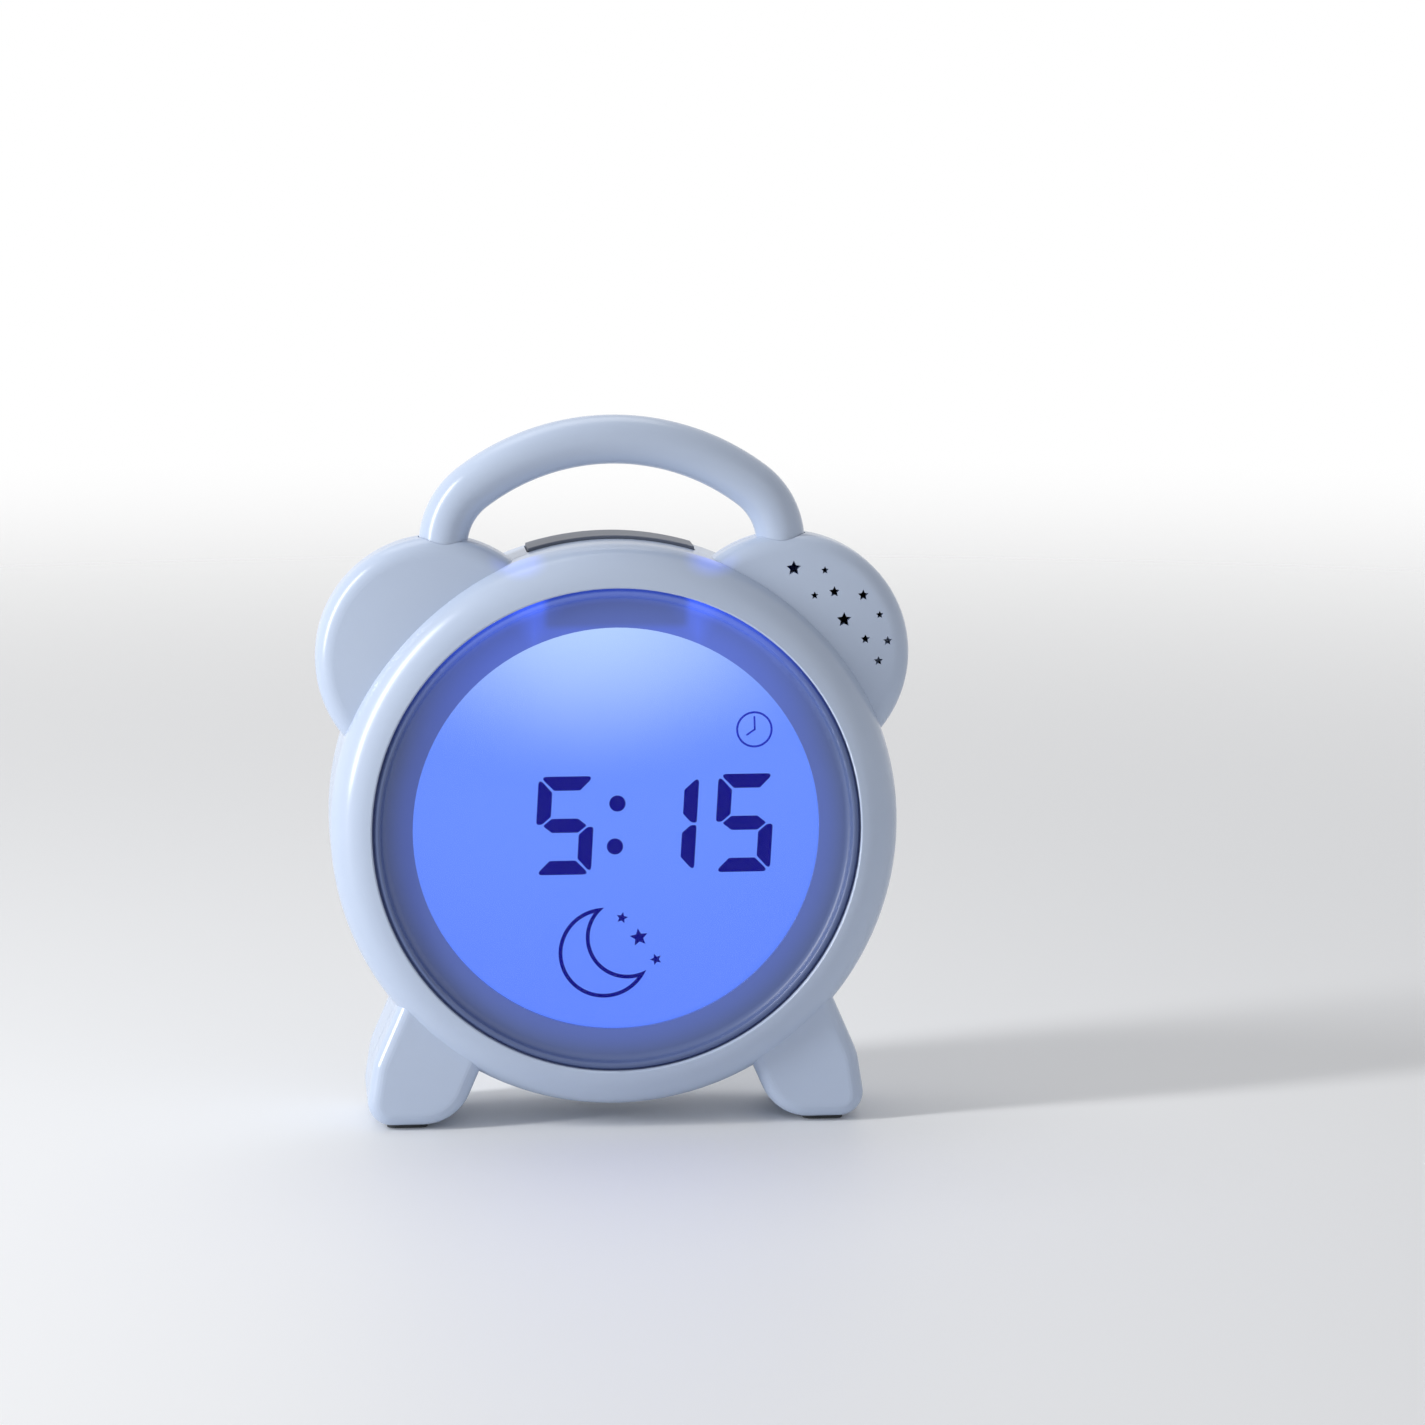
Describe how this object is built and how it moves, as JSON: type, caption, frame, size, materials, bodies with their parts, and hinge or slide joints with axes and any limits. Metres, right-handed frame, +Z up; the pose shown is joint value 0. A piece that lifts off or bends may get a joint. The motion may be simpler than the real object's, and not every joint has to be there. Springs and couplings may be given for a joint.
{
  "type": "alarm clock with night light",
  "caption": "Round bedside alarm clock with a backlit digital dial, round ears, splayed feet, a fixed arched carrying handle, a push bar on top and battery power.",
  "frame": {"origin": "middle of the bounding box on the table, under the clock", "axes": "+Z up, -Y towards the reader (the dial faces -Y), +X to the reader's right"},
  "size_m": [0.1462, 0.045, 0.1759],
  "materials": {
    "shell_white": "satin moulded plastic",
    "handle_white": "satin moulded plastic",
    "bezel_white": "translucent satin plastic lit from behind",
    "lens_clear": "clear acrylic",
    "display_blue": "liquid crystal cell lit blue from behind",
    "guide_clear": "frosted acrylic",
    "frame_white": "moulded plastic",
    "board_green": "fibreglass board under green lacquer",
    "component_black": "moulded epoxy",
    "can_dark_blue": "shrink sleeve on a metal can",
    "metal_bright": "nickel plated",
    "screw_steel": "zinc plated",
    "led_clear": "clear epoxy",
    "rubber_black": "conductive rubber",
    "control_grey": "mid grey moulded plastic",
    "speaker_steel": "zinc plated sheet",
    "speaker_paper": "black treated paper",
    "magnet_dark": "ferrite",
    "cell_wrap": "plain film wrapped steel can",
    "pad_rubber": "matt rubber",
    "cable_grey": "flat cable"
  },
  "bodies": {
    "case": {"front_shell": "shell_white", "rear_shell": "shell_white", "carry_handle": "handle_white", "inner_bezel": "bezel_white", "lens": "lens_clear", "lcd_glass_front": "display_blue", "lcd_glass_back": "display_blue", "light_guide": "guide_clear", "display_frame": "frame_white", "zebra_strip": "rubber_black", "main_board": "board_green", "controller_chip": "component_black", "crystal": "metal_bright", "capacitors": "can_dark_blue", "frame_screws": "screw_steel", "light_board": "board_green", "blue_leds": "led_clear", "bar_switch": "component_black", "key_board": "board_green", "key_switches": "component_black", "slide_switch": "speaker_steel", "dc_jack": "component_black", "jack_pin": "metal_bright", "speaker_frame": "speaker_steel", "speaker_cone": "speaker_paper", "speaker_magnet": "magnet_dark", "batteries": "cell_wrap", "contact_springs": "metal_bright", "contact_plates": "metal_bright", "housing_screws": "screw_steel", "foot_pads": "pad_rubber", "ribbon_cable": "cable_grey"},
    "push_bar": {"push_bar": "control_grey"},
    "mode_button": {"mode_button": "control_grey"},
    "hour_button": {"hour_button": "control_grey"},
    "minute_button": {"minute_button": "control_grey"},
    "alarm_button": {"alarm_button": "control_grey"},
    "slider_knob": {"slider_knob": "control_grey"},
    "battery_door": {"battery_door": "shell_white", "door_screw": "screw_steel"}
  },
  "joints": [
    {"name": "push_bar_press", "type": "slide", "parent": "case", "child": "push_bar", "axis": [0, 0, -1], "range_m": [0, 0.0006], "stiffness_N_per_m": 400, "springref_m": -0.001},
    {"name": "mode_press", "type": "slide", "parent": "case", "child": "mode_button", "axis": [0, -1, 0], "range_m": [0, 0.0004], "stiffness_N_per_m": 250, "springref_m": -0.001},
    {"name": "hour_press", "type": "slide", "parent": "case", "child": "hour_button", "axis": [0, -1, 0], "range_m": [0, 0.0004], "stiffness_N_per_m": 250, "springref_m": -0.001},
    {"name": "minute_press", "type": "slide", "parent": "case", "child": "minute_button", "axis": [0, -1, 0], "range_m": [0, 0.0004], "stiffness_N_per_m": 250, "springref_m": -0.001},
    {"name": "alarm_press", "type": "slide", "parent": "case", "child": "alarm_button", "axis": [0, -1, 0], "range_m": [0, 0.0004], "stiffness_N_per_m": 250, "springref_m": -0.001},
    {"name": "sound_slide", "type": "slide", "parent": "case", "child": "slider_knob", "axis": [1, 0, 0], "range_m": [0, 0.004]},
    {"name": "battery_door_tip", "type": "hinge", "parent": "case", "child": "battery_door", "pos_m": [0, 0.0215, 0.03765], "axis": [-1, 0, 0], "range_deg": [0, 80]}
  ]
}
